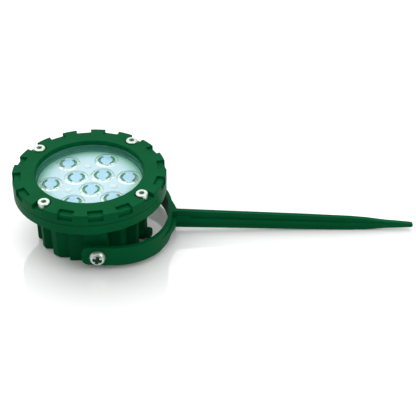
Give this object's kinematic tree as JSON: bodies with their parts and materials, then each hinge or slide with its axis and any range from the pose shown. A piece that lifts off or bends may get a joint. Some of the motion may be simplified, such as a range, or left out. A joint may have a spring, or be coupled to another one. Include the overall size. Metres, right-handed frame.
{
  "type": "underwater pond light",
  "caption": "Round waterproof spotlight: glass face in a notched screwed bezel, finned metal body, U-shaped yoke on two pivot screws and a cross-section ground spike.",
  "frame": {"origin": "centre of the housing's flat back, on the surface that the light lies on", "axes": "+Z out of the glass along the head's axis, +X towards the ground spike, Y along the pivot axis"},
  "size_m": [0.3204, 0.1216, 0.0589],
  "materials": {
    "green_coat": "green powder coat over die-cast aluminium",
    "stainless_steel": "bright stainless screws",
    "black_rubber": "matt black rubber",
    "cover_glass": "clear toughened glass",
    "white_plastic": "white moulded plastic",
    "clear_acrylic": "clear acrylic",
    "led_emitter": "silicone LED dome on a white base",
    "led_board": "metal-core circuit board, white mask",
    "brass": "plain brass",
    "driver_potting": "black potting compound",
    "grey_plastic": "grey moulded plastic",
    "red_jacket": "red wire jacket",
    "black_jacket": "black wire jacket",
    "black_nylon": "black nylon",
    "clear_silicone": "translucent silicone rubber"
  },
  "bodies": {
    "head": {"bezel_ring": "green_coat", "bezel_screw_1": "stainless_steel", "bezel_screw_2": "stainless_steel", "bezel_screw_3": "stainless_steel", "bezel_screw_4": "stainless_steel", "cover_glass": "cover_glass", "glass_gasket": "clear_silicone", "housing_body": "green_coat", "led_board": "led_board", "lens_plate": "white_plastic", "lens_1": "clear_acrylic", "lens_2": "clear_acrylic", "lens_3": "clear_acrylic", "lens_4": "clear_acrylic", "lens_5": "clear_acrylic", "lens_6": "clear_acrylic", "lens_7": "clear_acrylic", "lens_8": "clear_acrylic", "lens_9": "clear_acrylic", "led_1": "led_emitter", "led_2": "led_emitter", "led_3": "led_emitter", "led_4": "led_emitter", "led_5": "led_emitter", "led_6": "led_emitter", "led_7": "led_emitter", "led_8": "led_emitter", "led_9": "led_emitter", "plate_screw_1": "stainless_steel", "plate_screw_2": "stainless_steel", "plate_screw_3": "stainless_steel", "standoff_1": "brass", "standoff_2": "brass", "standoff_3": "brass", "led_driver": "driver_potting", "terminal_block": "grey_plastic", "wire_positive": "red_jacket", "wire_negative": "black_jacket", "gland_body": "green_coat", "gland_o_ring": "black_rubber", "gland_dome_nut": "green_coat", "gland_seal_insert": "black_rubber", "pivot_screw_front": "stainless_steel", "pivot_screw_rear": "stainless_steel", "friction_washer_front": "black_nylon", "friction_washer_rear": "black_nylon"},
    "yoke": {"yoke": "green_coat"},
    "spike": {"ground_spike": "green_coat", "spike_stud": "stainless_steel"}
  },
  "joints": [
    {"name": "yoke_tilt", "type": "hinge", "parent": "head", "child": "yoke", "pos_m": [0.0078, 0, 0.0137], "axis": [0, 1, 0], "range_deg": [-20, 184]},
    {"name": "spike_swivel", "type": "hinge", "parent": "yoke", "child": "spike", "pos_m": [0.06776, 0, 0.01143], "axis": [0.9993, 0, -0.0379], "continuous": true}
  ]
}
